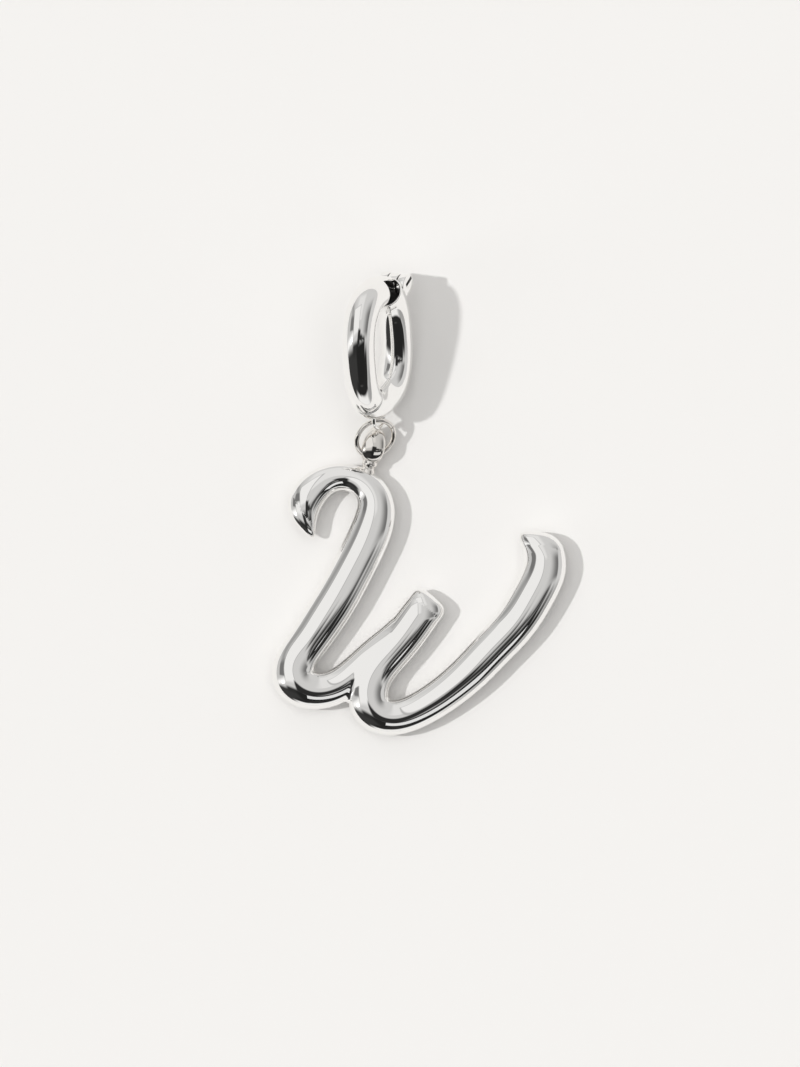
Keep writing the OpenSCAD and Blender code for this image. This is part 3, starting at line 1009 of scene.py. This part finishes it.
# Columns: what it is, place right, place up, half width, half height, turn in degrees,
# softness of its left, right, upper and lower edge, light
CARDS = [
    ("ceiling", -0.10, 0.34, 0.17, 0.26, 0, 0.08, 0.05, 0.06, 0.02, 0.77),
    ("pale wall on the left", -0.60, 0.20, 0.20, 0.30, 0, 0.02, 0.02, 0.05, 0.05, 0.55),
    ("wall on the right", 0.42, 0.05, 0.10, 0.20, 0, 0.16, 0.02, 0.18, 0.05, 0.17),
    ("curtain", -0.50, 0.30, 0.055, 0.14, 18, 0.05, 0.04, 0.08, 0.04, 0.34),
    ("doorway", -0.42, 0.08, 0.13, 0.12, 0, 0.025, 0.02, 0.05, 0.02, 0.18),
    ("edge of the soft box", -0.205, 0.12, 0.175, 0.25, 10, 0.008, 0.01, 0.02, 0.05, 0.40),
    ("soft box", -0.20, 0.12, 0.155, 0.24, 10, 0.008, 0.012, 0.02, 0.05, 0.86),
    ("dark room", -0.38, -0.47, 0.34, 0.20, 0, 0.05, 0.03, 0.05, 0.05, 0.04),
    ("edge of the dark room", -0.17, -0.27, 0.18, 0.06, 4, 0.06, 0.04, 0.04, 0.03, 0.03),
    ("glow of the lamp", -0.50, -0.16, 0.17, 0.045, 18, 0.06, 0.06, 0.04, 0.03, 1.0),
    ("lamp", -0.44, -0.175, 0.05, 0.02, 18, 0.03, 0.03, 0.02, 0.02, 3.5),
    ("camera", 0.01, -0.15, 0.075, 0.09, -12, 0.02, 0.02, 0.025, 0.015, 0.025),
    ("arm of the camera", 0.13, -0.165, 0.08, 0.035, -8, 0.02, 0.02, 0.03, 0.012, 0.03),
    ("end of the arm", 0.27, -0.175, 0.10, 0.017, -3, 0.02, 0.04, 0.03, 0.01, 0.04),
    ("dark floor under the camera", 0.15, -0.35, 0.26, 0.14, 8, 0.04, 0.04, 0.04, 0.03, 0.018),
]
# Columns: what it is, tip, half width, middle direction and half angle in degrees, softness of its edge
# and of its ends, light
ARCS = [
    ("far edge of the room", 0.54, 0.05, -68, 42, 0.018, 8, 0.02),
    ("far table", 0.66, 0.05, -85, 28, 0.02, 8, 0.88),
    ("far wall", 0.66, 0.05, -38, 16, 0.02, 8, 0.36),
]
print("cards round the table:", len(CARDS), "and arcs:", len(ARCS))

# %% [markdown]
# Each card is a soft-edged mask over the tip of the skin, and the whole room is one expression. Real
# planes that glow would do the same, but each would have to be moved and turned by hand until its
# reflection fell in the right place.

# %% Masks
def card_mask(right, up, card):
    """1 where the skin tips towards a card, 0 elsewhere."""
    place_right, place_up, half_w, half_h, turn, left_soft, right_soft, up_soft, down_soft = card
    cos, sin = math.cos(math.radians(turn)), math.sin(math.radians(turn))
    across = (right - place_right) * cos + (up - place_up) * sin
    along = (up - place_up) * cos - (right - place_right) * sin
    return ((across + half_w).rise(-left_soft, left_soft) * (half_w - across).rise(-right_soft, right_soft)
            * (half_h - along).rise(-up_soft, up_soft) * (along + half_h).rise(-down_soft, down_soft))


def arc_mask(tipped, direction, arc):
    """1 where the skin tips by about an arc's tip in about its direction, 0 elsewhere."""
    tip, half, middle, half_angle, soft, soft_angle = arc
    swing = (direction - math.radians(middle)).size()
    limit = math.radians(half_angle)
    soft_angle = math.radians(soft_angle)
    return (half - (tipped - tip).size()).rise(-soft, soft) * (limit - swing).rise(-soft_angle, soft_angle)


print("masks are ready")

# %% [markdown]
# The room's light is worked out for each direction in which a mirrored ray leaves. With the camera
# straight above, the skin faces half way between that direction and straight up, and the cards are listed
# by how far it then tips.

# %% The room
world = bpy.data.worlds.new("room")
world.use_nodes = True
world.node_tree.nodes.clear()
bpy.context.scene.world = world
sheet = Wire(world.node_tree)
towards = sheet.node("ShaderNodeTexCoord", None, None, "Generated")
# A little more than 1, so that the sum is never nothing, not even straight down
STRAIGHT_UP = (0, 0, 1.0001)
raised = sheet.node("ShaderNodeVectorMath", {"operation": "ADD"}, {0: towards, 1: STRAIGHT_UP})
tip = sheet.node("ShaderNodeVectorMath", {"operation": "NORMALIZE"}, {0: raised})
right, up, _ = tip.parts()
light = ROOM_LIGHT + 0 * right
for _, *card, glow in CARDS:
    light = light + card_mask(right, up, card) * (glow - light)
tipped = (right * right + up * up).root()
direction = right.maths("ARCTAN2", up, right)
for _, *arc, glow in ARCS:
    light = light + arc_mask(tipped, direction, arc) * (glow - light)
glow = sheet.node("ShaderNodeBackground", None, {"Color": ROOM_TINT, "Strength": light})
sheet.node("ShaderNodeOutputWorld", None, {"Surface": glow})
print("nodes in the room:", len(world.node_tree.nodes))

# %% [markdown]
# Soft cards alone would leave the table with almost no shadow. A small, far lamp from the left draws the
# shadows, and a wide lamp overhead fills them in. Neither shows in the silver, where the cards stand for
# the lamps.

# %% The key lamp
# How high the lamp stands, and how far its light runs down the picture
KEY_UP, KEY_DOWN_PICTURE = math.radians(51.7), math.radians(4)
KEY_LIGHT, KEY_SOFT = 1.42, math.radians(2.4)
lamp = bpy.data.lights.new("key", "SUN")
lamp.energy = KEY_LIGHT
lamp.angle = KEY_SOFT
key = bpy.data.objects.new("key", lamp)
bpy.context.scene.collection.objects.link(key)
level = math.cos(KEY_UP)
shine = Vector((math.cos(KEY_DOWN_PICTURE) * level, -math.sin(KEY_DOWN_PICTURE) * level, -math.sin(KEY_UP)))
key.rotation_euler = shine.to_track_quat("-Z", "Y").to_euler()
key.visible_glossy = False
print("the key lamp shines along", np.array(shine).round(2))

# %% The overhead lamp
OVERHEAD_LIGHT, OVERHEAD_SIZE, OVERHEAD_HIGH = 11, 2.0, 2.0
lamp = bpy.data.lights.new("overhead", "AREA")
lamp.energy = OVERHEAD_LIGHT
lamp.size = OVERHEAD_SIZE
overhead = bpy.data.objects.new("overhead", lamp)
overhead.location.z = OVERHEAD_HIGH
overhead.visible_glossy = False
overhead.visible_camera = False
bpy.context.scene.collection.objects.link(overhead)
print("the overhead lamp hangs", OVERHEAD_HIGH, "m up")

# %% [markdown]
# The low window mirrors in the letter as a light band between two dark ones. In the clip ring it would
# brighten a part of the reflection that is dark in the photo. So this lamp is linked to the pieces that
# it may reach, which one real lamp couldn't do by itself.

# %% The low window
WINDOW_TIP = (0.17, -0.345)
WINDOW_FAR = 3.0
WINDOW_SIZE = (2.1, 0.80)
WINDOW_LIGHT = 0.74
# The direction that the window's long side comes nearest to
WINDOW_SILL = (0.93, 0.07, -0.36)
tip_right, tip_up = WINDOW_TIP
tip_high = math.sqrt(1 - tip_right ** 2 - tip_up ** 2)
to_window = Vector((2 * tip_right * tip_high, 2 * tip_up * tip_high, 2 * tip_high ** 2 - 1))
sill = Vector(WINDOW_SILL)
sill = (sill - sill.dot(to_window) * to_window).normalized()
lamp = bpy.data.lights.new("low_window", "AREA")
lamp.shape = "RECTANGLE"
lamp.size, lamp.size_y = WINDOW_SIZE
lamp.energy = WINDOW_LIGHT * math.pi * lamp.size * lamp.size_y
window = bpy.data.objects.new("low_window", lamp)
window.matrix_world = (Matrix.Translation(WINDOW_FAR * to_window)
                       @ Matrix((sill, to_window.cross(sill), to_window)).transposed().to_4x4())
window.visible_camera = False
bpy.context.scene.collection.objects.link(window)
lit = bpy.data.collections.new("lit_by_the_low_window")
window.light_linking.receiver_collection = lit
print("the low window lies towards", np.array(to_window).round(2))

# %% [markdown]
# The table is one large matt sheet, pale and a little warm. The rims of the silver mirror it, so its colour
# counts twice. Its roughness varies a little, as the tooth of paper does.

# %% The table
FLOOR_HALF = 4.0
TOOTH_SCALE = 1500.0
FLOOR_TINT = (0.86, 0.847, 0.829, 1)
material, sheet = new_material("pale_table")
place = sheet.node("ShaderNodeTexCoord", None, None, "Object")
tooth = sheet.node("ShaderNodeTexNoise", None, {"Vector": place, "Scale": TOOTH_SCALE, "Detail": 2.0})
values = {"Base Color": FLOOR_TINT, "Roughness": 0.85 + 0.1 * tooth, "Specular IOR Level": 0.2}
pale = finish_material(material, sheet, values)
corners = [(x * FLOOR_HALF, y * FLOOR_HALF, 0) for x, y in ((-1, -1), (1, -1), (1, 1), (-1, 1))]
table_mesh = bpy.data.meshes.new("table")
table_mesh.from_pydata(corners, [], [(0, 1, 2, 3)])
table_mesh.materials.append(pale)
table = bpy.data.objects.new("table", table_mesh)
table.location.z = cad_box[0].z
bpy.context.scene.collection.objects.link(table)
for piece in (letter, eye, jump, table):
    lit.objects.link(piece)

# %% [markdown]
# The photo seems to have been taken from straight above and from far away, since nothing in it looks
# nearer than the rest. A long lens from three metres up does the same. The height of the view follows from
# the scale of the photo, 10 pixels to the millimetre.

# %% The camera
# Height of the picture, and its middle, as seen from the letter's middle and base line
VIEW_H = 106.7 * MM
VIEW_CENTRE = (-1.825 * MM, (20.18 + corner[1]) * MM)
CAMERA_UP = 3.0
SENSOR = 36
FAR_ENOUGH = 20
camera = bpy.data.cameras.new("camera")
camera.sensor_width = SENSOR
camera.lens = SENSOR * CAMERA_UP / VIEW_H
camera.clip_end = FAR_ENOUGH
eye_of_scene = bpy.data.objects.new("camera", camera)
eye_of_scene.location = (*VIEW_CENTRE, CAMERA_UP)
bpy.context.scene.collection.objects.link(eye_of_scene)
bpy.context.scene.camera = eye_of_scene
bpy.context.scene.view_settings.view_transform = "Standard"
print("camera:", round(camera.lens), "mm lens,", CAMERA_UP, "m up")
